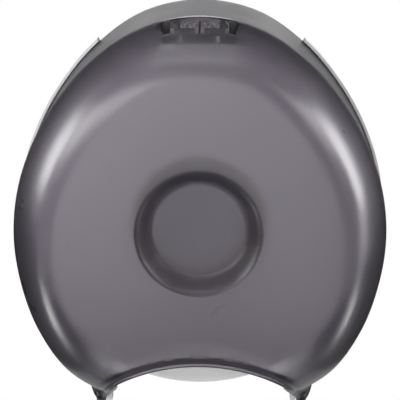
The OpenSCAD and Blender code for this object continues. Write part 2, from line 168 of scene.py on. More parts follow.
def addBump(tree, shader, height, strength, distance):
    bump = tree.nodes.new("ShaderNodeBump")
    bump.inputs["Strength"].default_value = strength
    bump.inputs["Distance"].default_value = distance
    link(tree, height, bump.inputs["Height"])
    link(tree, bump.outputs["Normal"], shader.inputs["Normal"])


# moulded plastic: faint cloudiness, fine satin grain
def mouldedPlastic(name, dark, light, roughness):
    material, tree, shader, coords, out = newMaterial(name)
    cloud = noiseNode(tree, coords, 22, 4)
    fine = noiseNode(tree, coords, 1400, 2)
    link(tree, tintBetween(tree, cloud, dark, light), shader.inputs["Base Color"])
    link(tree, rangeBetween(tree, cloud, *roughness), shader.inputs["Roughness"])
    addBump(tree, shader, fine, 0.35, 0.03 * mm)
    return material


# bright metal, brushed where the streaks are drawn out
def platedSteel(name, dark, light, roughness, streaks=(1, 1, 1)):
    material, tree, shader, coords, out = newMaterial(name)
    shader.inputs["Metallic"].default_value = 1.0
    brushed = noiseNode(tree, coords, 700, 3, 0.6, streaks)
    blotch = noiseNode(tree, coords, 90, 3)
    link(tree, tintBetween(tree, blotch, dark, light), shader.inputs["Base Color"])
    link(tree, rangeBetween(tree, brushed, *roughness), shader.inputs["Roughness"])
    addBump(tree, shader, brushed, 0.2, 0.02 * mm)
    return material


# the window is the clear stretch over the springs, the satin one goes round the dimple; places in metres
smokeLook = {
    "tint": (0.93, 0.915, 0.94), "roughness": (0.27, 0.32), "transmission": 0.995, "ior": 1.49,
    "absorbColour": (0.47, 0.445, 0.485), "absorbDensity": 650.0, "shadowTint": (0.72, 0.71, 0.73),
    "window": (0, -0.094, 0.134), "windowSize": (0.026, 0.016, 0.02), "windowRoughness": 0.02,
    "satin": (0, 0, 0), "satinSize": (0.041, 10, 0.041), "satinRoughness": 0.46,
}


# a value inside a soft-edged ellipsoid, another value outside it
def patchOf(tree, coords, middle, size, inside, outside):
    place = tree.nodes.new("ShaderNodeMapping")
    place.vector_type = "TEXTURE"
    place.inputs["Location"].default_value = middle
    place.inputs["Scale"].default_value = size
    link(tree, coords, place.inputs["Vector"])
    away = tree.nodes.new("ShaderNodeVectorMath")
    away.operation = "LENGTH"
    link(tree, place.outputs["Vector"], away.inputs[0])
    edge = tree.nodes.new("ShaderNodeMapRange")
    edge.interpolation_type = "SMOOTHSTEP"
    edge.inputs["From Min"].default_value = 0.85
    edge.inputs["From Max"].default_value = 1.25
    edge.inputs["To Min"].default_value = inside
    link(tree, away.outputs["Value"], edge.inputs["Value"])
    link(tree, outside, edge.inputs["To Max"])
    return edge.outputs["Result"]


# see-through smoke plastic: satin surface over a wall that soaks up light
def smokePlastic(name, look):
    material, tree, shader, coords, out = newMaterial(name)
    cloud = noiseNode(tree, coords, 30, 3)
    fine = noiseNode(tree, coords, 1700, 2)
    shader.inputs["Base Color"].default_value = (*look["tint"], 1)
    shader.inputs["IOR"].default_value = look["ior"]
    shader.inputs["Transmission Weight"].default_value = look["transmission"]
    rough = rangeBetween(tree, cloud, *look["roughness"])
    for patch in ("satin", "window"):
        rough = patchOf(tree, coords, look[patch], look[patch + "Size"], look[patch + "Roughness"], rough)
    link(tree, rough, shader.inputs["Roughness"])
    addBump(tree, shader, fine, 0.12, 0.03 * mm)
    clear = tree.nodes.new("ShaderNodeBsdfTransparent")
    clear.inputs["Color"].default_value = (*look["shadowTint"], 1)
    path = tree.nodes.new("ShaderNodeLightPath")
    mix = tree.nodes.new("ShaderNodeMixShader")
    link(tree, path.outputs["Is Shadow Ray"], mix.inputs["Fac"])
    link(tree, shader.outputs["BSDF"], mix.inputs[1])
    link(tree, clear.outputs["BSDF"], mix.inputs[2])
    link(tree, mix.outputs["Shader"], out.inputs["Surface"])
    soak = tree.nodes.new("ShaderNodeVolumeAbsorption")
    soak.inputs["Color"].default_value = (*look["absorbColour"], 1)
    soak.inputs["Density"].default_value = look["absorbDensity"]
    link(tree, soak.outputs["Volume"], out.inputs["Volume"])
    return material


# pressed tissue: fine rings on the ends, soft crepe round the side
def tissuePaper(name):
    material, tree, shader, coords, out = newMaterial(name)
    rings = tree.nodes.new("ShaderNodeTexWave")
    rings.wave_type = "RINGS"
    rings.rings_direction = "Y"
    rings.inputs["Scale"].default_value = 260
    rings.inputs["Distortion"].default_value = 1.2
    rings.inputs["Detail"].default_value = 3
    rings.inputs["Detail Scale"].default_value = 1.5
    link(tree, coords, rings.inputs["Vector"])
    crepe = noiseNode(tree, coords, 900, 4, 0.7, (1, 0.35, 1))
    both = tree.nodes.new("ShaderNodeMath")
    both.operation = "ADD"
    link(tree, rings.outputs["Fac"], both.inputs[0])
    link(tree, crepe, both.inputs[1])
    link(tree, tintBetween(tree, rings.outputs["Fac"], (0.83, 0.83, 0.82), (0.9, 0.9, 0.89)),
         shader.inputs["Base Color"])
    shader.inputs["Roughness"].default_value = 0.95
    shader.inputs["Sheen Weight"].default_value = 0.15
    addBump(tree, shader, both.outputs["Value"], 0.5, 0.12 * mm)
    return material


# grey card with short fibres
def cardPaper(name):
    material, tree, shader, coords, out = newMaterial(name)
    fibres = noiseNode(tree, coords, 420, 5, 0.7, (1, 0.25, 1))
    link(tree, tintBetween(tree, fibres, (0.36, 0.27, 0.18), (0.52, 0.41, 0.29)), shader.inputs["Base Color"])
    shader.inputs["Roughness"].default_value = 0.9
    addBump(tree, shader, fibres, 0.4, 0.1 * mm)
    return material


smoke = smokePlastic("smokePlastic", smokeLook)
greyPlastic = mouldedPlastic("greyPlastic", (0.60, 0.605, 0.61), (0.66, 0.665, 0.67), (0.42, 0.5))
hubPlastic = mouldedPlastic("hubPlastic", (0.56, 0.56, 0.57), (0.62, 0.62, 0.63), (0.4, 0.5))
sleevePlastic = mouldedPlastic("sleevePlastic", (0.50, 0.50, 0.52), (0.56, 0.56, 0.58), (0.4, 0.5))
trayPlastic = mouldedPlastic("trayPlastic", (0.05, 0.05, 0.053), (0.07, 0.07, 0.074), (0.45, 0.55))
lockPlastic = mouldedPlastic("lockPlastic", (0.17, 0.17, 0.175), (0.21, 0.21, 0.215), (0.45, 0.55))
# near-black: painted shade for the view through the key slots
slotShadePlastic = mouldedPlastic("slotShadePlastic", (0.012, 0.012, 0.013), (0.018, 0.018, 0.019), (0.55, 0.65))
pinPlastic = mouldedPlastic("pinPlastic", (0.01, 0.01, 0.011), (0.016, 0.016, 0.017), (0.28, 0.36))
zincSteel = platedSteel("zincSteel", (0.62, 0.62, 0.60), (0.74, 0.74, 0.73), (0.28, 0.42), (1, 1, 0.1))
screwSteel = platedSteel("screwSteel", (0.6, 0.6, 0.6), (0.72, 0.72, 0.72), (0.25, 0.38))
springSteel = platedSteel("springSteel", (0.9, 0.9, 0.91), (0.96, 0.96, 0.96), (0.4, 0.5))
tissue = tissuePaper("tissuePaper")
cardboard = cardPaper("cardPaper")
print("materials ready")


# cover: sizes in mm, angles in degrees, shares of the outline from its centre to its edge
cover = {
    # radii every 15 degrees, from the top round to the bottom
    "outlineRadii": [153, 150.8, 143.6, 136.4, 131.8, 129.3, 128, 127.6, 129.2, 130.6, 126.5, 124, 124],
    "centreZ": -16, "depth": 142, "rimGap": 3.2, "wall": 2.4, "rimBevel": 0.32,
    "sideDraft": 0.4, "topDraft": 2,
    # the crease steps in a little: each row's distance behind it and its step
    "creaseY": 84, "creaseStep": 0.6, "creaseStart": 1.2, "creaseRows": [(0.7, 0.95), (0.25, 0.5)],
    "shoulderStart": 25, "shoulderEnd": 82,
    "faceShare": 0.8, "faceEnd": 0.41, "faceCrown": 7, "faceSoftening": 0.05,
    "hornLength": 35.2, "hornAt": 26.6, "hornFade": 16, "hornFront": 88, "hornBack": 10, "hornPower": 1.9,
    # a round bar, tilted down to the wall, cuts the arch; archZ is its top, archBehind mm behind the front
    "archRadius": 130, "archZ": -91.6, "archTilt": 18, "archBehind": 4,
    "lipEdge": 0.7, "lipHeight": 1.8, "lipSoft": 3, "lipCove": 0.7, "lipLines": 8,
    "lipStart": 62, "lipFade": 8, "lipIn": 5.6, "beadOver": 1, "beadAtEdge": 0.3,
    "dimpleRadius": 42.8, "dimpleMargin": 2.6, "dimpleOver": 0.8, "dimpleWallOver": 2,
    "discRadius": 30.5, "dimpleFloor": 128.8, "discRings": [24, 18, 12, 6, 2],
    "slotX": 22, "slotWidth": 5.2, "slotLength": 21, "slotFrom": 3, "slotMargin": 6, "slotBehind": 1.4,
    "topZ": 100,
    # the wall is thinner over the lock
    "lockThin": 0.5, "lockHalfWidth": 30, "lockSideFade": 8, "lockZ": 119, "lockRise": 5,
    "columns": 288, "skirtRows": 30, "skirtSpread": 1.15, "shoulderRows": 28, "softRows": 4, "faceRows": 17,
    "dimpleRows": 18,
}


# radius of the outline at an angle from the top, as a smooth curve through the listed radii
def outlineRadius(a):
    radii = cover["outlineRadii"]
    b = abs((a + 180) % 360 - 180)
    k = min(11, int(b // 15))
    f = b / 15 - k
    r0, r1, r2, r3 = (radii[24 - abs(i) if abs(i) > 12 else abs(i)] for i in (k - 1, k, k + 1, k + 2))
    return r1 + 0.5 * f * (r2 - r0 + f * (2 * r0 - 5 * r1 + 4 * r2 - r3 + f * (3 * (r1 - r2) + r3 - r0)))


# share of the horn's length at an angle and a distance from the wall
def hornShare(a, y):
    c = cover
    side = clamp((abs(180 - a % 360) - c["hornAt"]) / c["hornFade"])
    fall = clamp((c["hornFront"] - y) / (c["hornFront"] - c["hornBack"]))
    return (0.5 + 0.5 * cosDeg(180 * side)) * fall ** c["hornPower"]


def skirtPoint(a, y, out):
    c = cover
    rear = clamp((c["creaseY"] - y) / (c["creaseY"] - c["rimGap"]))
    draft = rear * (c["sideDraft"] + c["topDraft"] * max(0.0, cosDeg(a)) ** 4)
    r = outlineRadius(a) + out + draft + c["hornLength"] * hornShare(a, y)
    return Vector((r * sinDeg(a), -y, c["centreZ"] + r * cosDeg(a))) * mm


def faceHeight(share):
    return cover["depth"] - cover["faceCrown"] * (share / cover["faceShare"]) ** 2


# the shoulder is a round stretch that tilts from its start to its end
def shoulderHeight(share):
    c = cover
    low, high = sinDeg(c["shoulderStart"]), sinDeg(c["shoulderEnd"])
    part = (share - c["faceShare"]) / (1 - c["faceShare"])
    tilt = math.degrees(math.asin(min(high, low + part * (high - low))))
    top, bottom = cosDeg(c["shoulderStart"]), cosDeg(c["shoulderEnd"])
    fallen = (top - cosDeg(tilt)) / (top - bottom)
    return faceHeight(c["faceShare"]) - (faceHeight(c["faceShare"]) - c["creaseY"]) * fallen


# distance from the wall at a share of the outline, rounded where the face turns into the shoulder
def heightAt(share):
    s0, d = cover["faceShare"], cover["faceSoftening"]
    if share <= s0 - d:
        return faceHeight(share)
    if share >= s0 + d:
        return shoulderHeight(share)
    return bezier(faceHeight(s0 - d), faceHeight(s0), shoulderHeight(s0 + d), (share - s0 + d) / (2 * d))


def heightOver(x, z):
    dz = z - cover["centreZ"]
    return heightAt(math.hypot(x, dz) / outlineRadius(math.degrees(math.atan2(x, dz))))


# point of the face or shoulder; round_ turns the outline's shape into a circle round the dimple
def facePoint(a, share, round_, radius):
    r = outlineRadius(a) * share
    x = (1 - round_) * r * sinDeg(a) + round_ * radius * sinDeg(a)
    z = (1 - round_) * (cover["centreZ"] + r * cosDeg(a)) + round_ * radius * cosDeg(a)
    return Vector((x, -heightOver(x, z), z)) * mm


def dimplePoint(a, radius):
    c = cover
    x, z = radius * sinDeg(a), radius * cosDeg(a)
    sink = 0.5 + 0.5 * cosDeg(180 * clamp((radius - c["discRadius"]) / (c["dimpleRadius"] - c["discRadius"])))
    return Vector((x, -(heightOver(x, z) * (1 - sink) + c["dimpleFloor"] * sink), z)) * mm


# all rows of the skin from the rear rim to the middle of the dimple, as functions of the outline angle
def skinRows():
    c = cover
    rows = []
    last = c["creaseY"] - c["creaseStart"]
    for i in range(c["skirtRows"] + 1):
        y = c["rimGap"] + (last - c["rimGap"]) * (i / c["skirtRows"]) ** c["skirtSpread"]
        out = -c["creaseStep"] * (y - c["rimGap"]) / (last - c["rimGap"])
        rows.append(lambda a, y=y, out=out: skirtPoint(a, y, out))
    for behind, step in c["creaseRows"]:
        rows.append(lambda a, y=c["creaseY"] - behind, out=-step: skirtPoint(a, y, out))
    low, high = sinDeg(c["shoulderStart"]), sinDeg(c["shoulderEnd"])
    for i in range(c["shoulderRows"] + 1):
        tilt = c["shoulderEnd"] + (c["shoulderStart"] - c["shoulderEnd"]) * i / c["shoulderRows"]
        share = c["faceShare"] + (1 - c["faceShare"]) * (sinDeg(tilt) - low) / (high - low)
        rows.append(lambda a, s=share: facePoint(a, s, 0, 0))
    d = c["faceSoftening"]
    for i in range(1, c["softRows"] + 1):
        rows.append(lambda a, s=c["faceShare"] - d * i / c["softRows"]: facePoint(a, s, 0, 0))
    outer, inner = c["dimpleRadius"], c["discRadius"]
    for i in range(1, c["faceRows"] + 1):
        u = i / c["faceRows"]
        share = (c["faceShare"] - d) * (1 - u) + c["faceEnd"] * u
        rows.append(lambda a, s=share, u=u: facePoint(a, s, smooth(u), outer + c["dimpleMargin"]))
    for i in range(c["dimpleRows"] + 1):
        radius = outer + c["dimpleOver"] + (inner - outer - 2 * c["dimpleOver"]) * i / c["dimpleRows"]
        rows.append(lambda a, r=radius: dimplePoint(a, r))
    for radius in c["discRings"]:
        rows.append(lambda a, r=radius: dimplePoint(a, r))
    return rows


# how far a point lies outside the round bar that cuts the arch, in mm
def archGap(co):
    c = cover
    y0 = c["archBehind"] - c["depth"]
    z0 = c["archZ"] - c["archRadius"] / cosDeg(c["archTilt"])
    w = (co.y / mm - y0) * sinDeg(c["archTilt"]) + (co.z / mm - z0) * cosDeg(c["archTilt"])
    return math.hypot(co.x / mm, w) - c["archRadius"]


# adds a line of edges where the measure has the given level; kept vertices stay where they are
def splitAlong(bm, measure, level, kept, snap=0.15):
    value = {v: measure(v.co) - level for v in bm.verts}
    for e in bm.edges:
        a, b = e.verts
        if value[a] * value[b] < 0:
            t = value[a] / (value[a] - value[b])
            near = a if t < snap else b if t > 1 - snap else None
            if near and near not in kept:
                near.co = a.co.lerp(b.co, t)
                value[near] = 0.0
    for e in list(bm.edges):
        a, b = e.verts
        if value[a] * value[b] < 0:
            t = value[a] / (value[a] - value[b])
            v = bmesh.utils.edge_split(e, a, t)[1]
            value[v] = 0.0
    line = [v for v in bm.verts if value[v] == 0.0]
    bmesh.ops.connect_verts(bm, verts=line)
    kept.update(line)
    return value


# how far the lip has grown at a distance from the wall
def lipAlong(co):
    return smooth((-co.y / mm - cover["lipStart"]) / cover["lipFade"])


# share of the soft cove above the lip's edge
def coveShare(co):
    c = cover
    gap = archGap(co)
    above = 1 - smooth((gap - c["lipHeight"]) / c["lipSoft"])
    below = smooth((gap - c["lipEdge"]) / (c["lipHeight"] - c["lipEdge"]))
    return lipAlong(co) * min(above, below)


# share of the lip's bead inside, which is thickest behind the cove
def beadShare(co):
    c = cover
    gap = archGap(co)
    bead = math.exp(-((gap - c["lipHeight"] - c["beadOver"]) / c["lipHeight"]) ** 2)
    return lipAlong(co) * bead * smooth(gap / c["lipHeight"] + c["beadAtEdge"])


# thickness of the wall in mm at a vertex of the skin
def wallAt(v):
    c = cover
    wall = c["wall"]
    if math.hypot(v.co.x, v.co.z) < (c["dimpleRadius"] + c["dimpleWallOver"]) * mm:
        # a slanting dimple wall is thicker, but less so where it faces down
        slant = abs(v.normal.y) + math.hypot(v.normal.x, v.normal.z) - 1
        wall *= 1 + slant * clamp(0.9 + v.normal.z)
    side = smooth((c["lockHalfWidth"] - abs(v.co.x) / mm) / c["lockSideFade"])
    wall *= 1 - c["lockThin"] * side * smooth((v.co.z / mm - c["lockZ"]) / c["lockRise"])
    return wall + (c["lipIn"] - wall) * beadShare(v.co)


# outer skin: rings of edges extruded from the rear rim to the dimple and closed by a disc
def makeCoverSkin():
    bm = bmesh.new()
    rows = skinRows()
    bmesh.ops.create_circle(bm, cap_ends=False, segments=cover["columns"], radius=0.1)
    angleOf = {v: math.degrees(math.atan2(v.co.x, v.co.y)) % 360 for v in bm.verts}
    edges = list(bm.edges)
    for v in bm.verts:
        v.co = rows[0](angleOf[v])
    for row in rows[1:]:
        made = bmesh.ops.extrude_edge_only(bm, edges=edges)["geom"]
        fresh = {g for g in made if isinstance(g, bmesh.types.BMVert)}
        edges = [g for g in made if isinstance(g, bmesh.types.BMEdge) and set(g.verts) <= fresh]
        for v in fresh:
            old = next(e.other_vert(v) for e in v.link_edges if e.other_vert(v) not in fresh)
            angleOf[v] = angleOf[old]
            v.co = row(angleOf[v])
    disc = bmesh.ops.contextual_create(bm, geom=edges)["faces"]
    bmesh.ops.poke(bm, faces=disc)
    bmesh.ops.recalc_face_normals(bm, faces=bm.faces)
    foremost = min(bm.faces, key=lambda f: f.calc_center_median().y)
    if foremost.normal.y > 0:
        bmesh.ops.reverse_faces(bm, faces=bm.faces)
    return bm


# straight-sided slots through the top of the shoulder
def cutSlots(bm):
    c = cover
    y0 = c["creaseY"] + c["slotFrom"]
    y1 = y0 + c["slotLength"]
    top = c["topZ"] * mm
    for side in (-1, 1):
        x0 = side * c["slotX"] - c["slotWidth"] / 2
        x1 = x0 + c["slotWidth"]
        for place, normal in ((x0, (1, 0, 0)), (x1, (1, 0, 0)), (-y0, (0, 1, 0)), (-y1, (0, 1, 0))):
            near = []
            for f in bm.faces:
                m = f.calc_center_median()
                if (m.z > top and abs(m.x - side * c["slotX"] * mm) < 2 * c["slotMargin"] * mm
                        and -(y1 + c["slotMargin"]) * mm < m.y < -(y0 - c["slotBehind"]) * mm):
                    near.append(f)
            geom = set(near) | {e for f in near for e in f.edges} | {v for f in near for v in f.verts}
            bmesh.ops.bisect_plane(bm, geom=list(geom), dist=1e-7, plane_co=Vector(normal) * place * mm,
                                   plane_no=normal)
        hole = []
        for f in bm.faces:
            m = f.calc_center_median()
            if m.z > top and x0 * mm < m.x < x1 * mm and -y1 * mm < m.y < -y0 * mm:
                hole.append(f)
        bmesh.ops.delete(bm, geom=hole, context="FACES")


def makeCover():
    c = cover
    bm = makeCoverSkin()
    cutSlots(bm)
    kept = set()
    lines = c["lipLines"] - 1
    for i in range(c["lipLines"]):
        level = c["lipEdge"] + (c["lipHeight"] + c["lipSoft"] - c["lipEdge"]) * (lines - i) / lines
        splitAlong(bm, archGap, level, kept)
    value = splitAlong(bm, archGap, 0, kept)
    bmesh.ops.delete(bm, geom=[v for v in bm.verts if value[v] < 0], context="VERTS")
    print("cover skin cut:", len(bm.faces), "faces")
    bm.normal_update()
    out = bm.verts.layers.float_vector.new("out")
    thick = bm.verts.layers.float.new("thick")
    for v in bm.verts:
        v[out] = v.normal
    for v in bm.verts:
        cove = c["lipCove"] * coveShare(v.co)
        v[thick] = wallAt(v)
        v.co -= v[out] * cove * mm
    shell = bmesh.ops.extrude_face_region(bm, geom=list(bm.faces), use_keep_orig=True)["geom"]
    copied = {g for g in shell if isinstance(g, bmesh.types.BMVert)}
    facesOut = any(f.normal.dot(Vector(f.verts[0][out])) > 0 for f in bm.faces if copied.issuperset(f.verts))
    inward = {v for v in bm.verts if v not in copied} if facesOut else copied
    for v in inward:
        v.co -= Vector(v[out]) * v[thick] * mm
    bm.normal_update()
    print("cover volume mm3:", round(bm.calc_volume(signed=True) * 1e9))
    rims = [e for e in bm.edges if len(e.link_faces) == 2
            and (e.verts[0] in inward) == (e.verts[1] in inward) and e.calc_face_angle(0) > math.radians(50)]
    bevelEdges(bm, rims, c["rimBevel"])
    return bm


coverShell = addPiece("coverShell", makeCover(), "cover", smoke, ("cover_shell",))
print("cover ready:", len(coverShell.data.polygons), "faces")


# hinge: bosses in the cover's horns, and the pins in them; distances out from the middle
hinge = {"y": 12.5, "z": -151.5, "bossIn": 70.1, "bossOut": 77, "bossRadius": 5, "boreRadius": 2.56,
         "seat": 75.7, "seatRadius": 3.6, "pinIn": 65.5, "pinRadius": 2.5,
         "headIn": 76.2, "headOut": 77.6, "headRadius": 3.2, "headEdge": 0.4, "headSlope": 1}


# turns a body spun about the spindle axis so that its axis lies along X through the hinge
def placeOnHinge(bm, side):
    turn = Matrix.Rotation(math.radians(90 * side), 4, "Z")
    place = Matrix.Translation((0, -hinge["y"] * mm, hinge["z"] * mm))
    bmesh.ops.transform(bm, matrix=place @ turn, verts=bm.verts)


for side, word in ((-1, "Left"), (1, "Right")):
    h = hinge
    bm = bmesh.new()
    spinOutline(bm, [(h["boreRadius"], h["bossIn"]), (h["bossRadius"], h["bossIn"]),
                     (h["bossRadius"], h["bossOut"]), (h["seatRadius"], h["bossOut"]),
                     (h["seatRadius"], h["seat"]), (h["boreRadius"], h["seat"])], 48)
    bevelSharp(bm, 0.4, 3)
    placeOnHinge(bm, side)
    addPiece("hornBoss" + word, bm, "cover", smoke)
    bm = bmesh.new()
    spinOutline(bm, [(0, h["pinIn"]), (h["pinRadius"], h["pinIn"]), (h["pinRadius"], h["headIn"]),
                     (h["headRadius"], h["headIn"]), (h["headRadius"], h["headIn"] + h["headEdge"]),
                     (h["headRadius"] - h["headSlope"], h["headOut"]), (0, h["headOut"])], 48)
    bevelSharp(bm, 0.25)
    placeOnHinge(bm, side)
    addPiece("hingePin" + word, bm, "back", pinPlastic, ("hinge_pin_" + word.lower(),))
print("hinge ready")


# roll: wound rings ripple its two ends, and the sheet's end makes a small step along its side
roll = {"core": 44.3, "outer": 112.9, "back": 12.5, "front": 106, "coreEdge": 0.6, "coreChamfer": 0.7,
        "rimFlat": 1.4, "rimEdge": 0.3, "rimDrop": 1, "rimRound": 2.6,
        "ripples": 34, "rippleDepth": 0.16, "rippleSink": 0.1, "sideRings": 8, "sideWave": 0.12,
        "tail": 0.35, "tailAt": 0.62}


def rippleAt(i):
    return roll["rippleDepth"] * (math.sin(i * 2.17) * math.sin(i * 0.83 + 1) - 0.4) - roll["rippleSink"]


def makeRoll():
    r = roll
    bm = bmesh.new()
    n, rings = r["ripples"], r["sideRings"]
    start, end = r["core"] + r["coreEdge"], r["outer"] - r["rimFlat"]
    sideFrom, sideTo = r["front"] - r["rimRound"], r["back"] + r["rimRound"]
    outline = [(start + (end - start) * i / n, r["front"] + rippleAt(i)) for i in range(n + 1)]
    outline += [(r["outer"] - r["rimEdge"], r["front"] - r["rimDrop"]), (r["outer"], sideFrom)]
    outline += [(r["outer"] - r["sideWave"] * math.sin(i), sideFrom + (sideTo - sideFrom) * i / rings)
                for i in range(1, rings)]
    outline += [(r["outer"], sideTo), (r["outer"] - r["rimEdge"], r["back"] + r["rimDrop"])]
    outline += [(end + (start - end) * i / n, r["back"] - rippleAt(i)) for i in range(n + 1)]
    outline += [(r["core"], r["back"] + r["coreChamfer"]), (r["core"], r["front"] - r["coreChamfer"])]
    spinOutline(bm, outline, 160)
    for v in bm.verts:
        radius = math.hypot(v.co.x, v.co.z)
        if radius > (r["outer"] - r["rimDrop"]) * mm:
            turn = (math.atan2(v.co.x, -v.co.z) / (2 * math.pi) + r["tailAt"]) % 1
            v.co.x *= 1 - r["tail"] * mm * turn / radius
            v.co.z *= 1 - r["tail"] * mm * turn / radius
    return bm


addPiece("tissueRoll", makeRoll(), "hub", tissue, ("paper_roll",), 60)

tube = {"inner": 42.85, "outer": 44.2, "back": 12.6, "front": 105.9}
bm = bmesh.new()
spinOutline(bm, [(tube["inner"], tube["back"]), (tube["outer"], tube["back"]),
                 (tube["outer"], tube["front"]), (tube["inner"], tube["front"])], 120)
bevelSharp(bm, 0.25)
addPiece("cardCore", bm, "hub", cardboard, ("paper_core",))
print("roll ready")


# latch springs: a round wire spun along a helix, then its ends closed
spring = {"y": 77, "z": 129.8, "from": 0.6, "to": 13.4, "radius": 2, "wire": 0.45, "turns": 2, "steps": 40,
          "sides": 12}

for side, word in ((-1, "Left"), (1, "Right")):
    s = spring
    bm = bmesh.new()
    ring = bmesh.ops.create_circle(bm, cap_ends=False, segments=s["sides"], radius=s["wire"] * mm)["verts"]
    start = Matrix.Translation(((s["from"] + s["wire"]) * mm, (s["radius"] - s["y"]) * mm, s["z"] * mm))
    turn = Matrix.Rotation(math.radians(90), 4, "Y") @ Matrix.Rotation(math.radians(90), 4, "X")
    bmesh.ops.transform(bm, matrix=start @ turn, verts=ring)
    steps = s["turns"] * s["steps"]
    rise = (s["to"] - s["from"] - 2 * s["wire"]) * mm / steps
    bmesh.ops.spin(bm, geom=list(bm.verts) + list(bm.edges), cent=(0, -s["y"] * mm, s["z"] * mm),
                   axis=(1, 0, 0), dvec=(rise, 0, 0), angle=2 * math.pi * s["turns"], steps=steps,
                   use_merge=False, use_duplicate=False)
    bmesh.ops.holes_fill(bm, edges=[e for e in bm.edges if len(e.link_faces) == 1], sides=s["sides"])
    if side < 0:
        bmesh.ops.scale(bm, vec=(-1, 1, 1), verts=bm.verts)
    bmesh.ops.recalc_face_normals(bm, faces=bm.faces)
    addPiece("latchSpring" + word, bm, "cover", springSteel,
             ("latch_spring_" + word.lower(),))
print("springs ready")


# screws: size is the head's radius and height and the shank's radius and length
screws = {
    "keeper": {"size": (2.8, 1.65, 1.45, 6.6), "x": 12, "y": 12.05, "z": 123, "spins": (20, 65)},
    "lock": {"size": (2.8, 1.75, 1.45, 6), "x": 12, "y": 103.8, "z": 119.65, "spins": (10, 50)},
    "spindle": {"size": (3, 1.25, 1.6, 7), "circle": 27, "y": 9.05, "angles": (30, 150, 270)},
    "cap": {"size": (5, 2.3, 1.9, 20), "y": 103.65, "spin": 30},
    # shares of the head's radius and height
    "panHead": [(0.45, 0.97), (0.78, 0.8), (0.96, 0.45), (1, 0.12), (0.97, 0)], "tip": 0.6,
    "recess": {"arm": 0.58, "half": 0.15, "taper": 0.72, "floor": 0.3},
}


# pan head with a cross recess on the local Z axis, its seat at zero
def makeScrew(radius, height, shank, length):
    bm = bmesh.new()
    outline = [(0, height)] + [(radius * r, height * h) for r, h in screws["panHead"]]
    outline += [(shank, 0), (shank, -length), (0, -length - shank * screws["tip"])]
    spinOutline(bm, outline, 32)
    bmesh.ops.rotate(bm, cent=(0, 0, 0), matrix=Matrix.Rotation(math.radians(-90), 3, "X"), verts=bm.verts)
    recess = screws["recess"]
    arm, half, middle = radius * recess["arm"] * mm, radius * recess["half"] * mm, height * 0.5 * mm
    for normal in ((1, 0, 0), (0, 1, 0)):
        for place in (-arm, -half, half, arm):
            top = [f for f in bm.faces if f.calc_center_median().z > middle]
            geom = set(top) | {e for f in top for e in f.edges} | {v for f in top for v in f.verts}
            bmesh.ops.bisect_plane(bm, geom=list(geom), dist=1e-8, plane_co=Vector(normal) * place,
                                   plane_no=normal)
    cross = []
    for f in bm.faces:
        m = f.calc_center_median()
        if m.z > middle and (abs(m.x) < half and abs(m.y) < arm or abs(m.y) < half and abs(m.x) < arm):
            cross.append(f)
    sunk = bmesh.ops.extrude_face_region(bm, geom=cross)["geom"]
    for v in (g for g in sunk if isinstance(g, bmesh.types.BMVert)):
        v.co.x *= recess["taper"]
        v.co.y *= recess["taper"]
        v.co.z = height * recess["floor"] * mm
    bmesh.ops.delete(bm, geom=[f for f in cross if f.is_valid], context="FACES")
    bmesh.ops.recalc_face_normals(bm, faces=bm.faces)
    return bm


# joins screws of one size at several places; each place is a matrix for the seat of the head
def addScrews(word, body, places):
    whole = bmesh.new()
    for place in places:
        one = makeScrew(*screws[word]["size"])
        bmesh.ops.transform(one, matrix=place, verts=one.verts)
        mesh = bpy.data.meshes.new("part")
        one.to_mesh(mesh)
        one.free()
        whole.from_mesh(mesh)
        bpy.data.meshes.remove(mesh)
    ending = "Screw" if len(places) == 1 else "Screws"
    addPiece(word + ending, whole, body, screwSteel, (word + "_" + ending.lower(),), 30)


faceOut = Matrix.Rotation(math.radians(90), 4, "X")    # local Z points away from the wall
faceDown = Matrix.Rotation(math.radians(180), 4, "X")


def seatAt(x, y, z, turn, spin):
    return Matrix.Translation((x * mm, -y * mm, z * mm)) @ turn @ Matrix.Rotation(math.radians(spin), 4, "Z")


for word, body, turn in (("keeper", "back", faceOut), ("lock", "cover", faceDown)):
    s = screws[word]
    addScrews(word, body, [seatAt(side * s["x"], s["y"], s["z"], turn, spin)
                           for side, spin in zip((-1, 1), s["spins"])])
s = screws["spindle"]
addScrews("spindle", "back", [seatAt(s["circle"] * cosDeg(a), s["y"], -s["circle"] * sinDeg(a), faceOut, a)
                              for a in s["angles"]])
s = screws["cap"]
addScrews("cap", "back", [seatAt(0, s["y"], 0, faceOut, s["spin"])])
print("screws ready")


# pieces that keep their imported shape: node, body, slot, material, width of the rounded edges
packedShapes = {
    "backPlate": ("back_plate", "back", "grey_plastic", greyPlastic, 0.3),
    "keeperPlate": ("keeper_plate", "back", "zinc_steel", zincSteel, 0.2),
    "spindlePost": ("spindle_post", "back", "grey_plastic", greyPlastic, 0.4),
    "dragWasher": ("drag_washer", "back", "zinc_steel", zincSteel, 0.15),
    "retainingCap": ("retaining_cap", "back", "grey_plastic", greyPlastic, 0.4),
    "coreHub": ("core_hub", "hub", "hub_plastic", hubPlastic, 0.25),
    "coreSleeve": ("core_sleeve", "hub", "sleeve_plastic", sleevePlastic, 0.4),
    "lockTray": ("lock_tray", "cover", "sleeve_plastic", trayPlastic, 0.2),
    "latchLeft": ("latch_left", "left_latch", "lock_plastic", lockPlastic, 0.2),
    "latchRight": ("latch_right", "right_latch", "lock_plastic", lockPlastic, 0.2),
}

for name, shape in packedShapes.items():
    roundedCopy(name, *shape)

# near-black blocks on the key stops: painted shade that keeps the view through the slots dark
slotShadeBlock = {"x": (19.6, 24.4), "y": (87.1, 88.8), "z": (119.8, 133.6)}

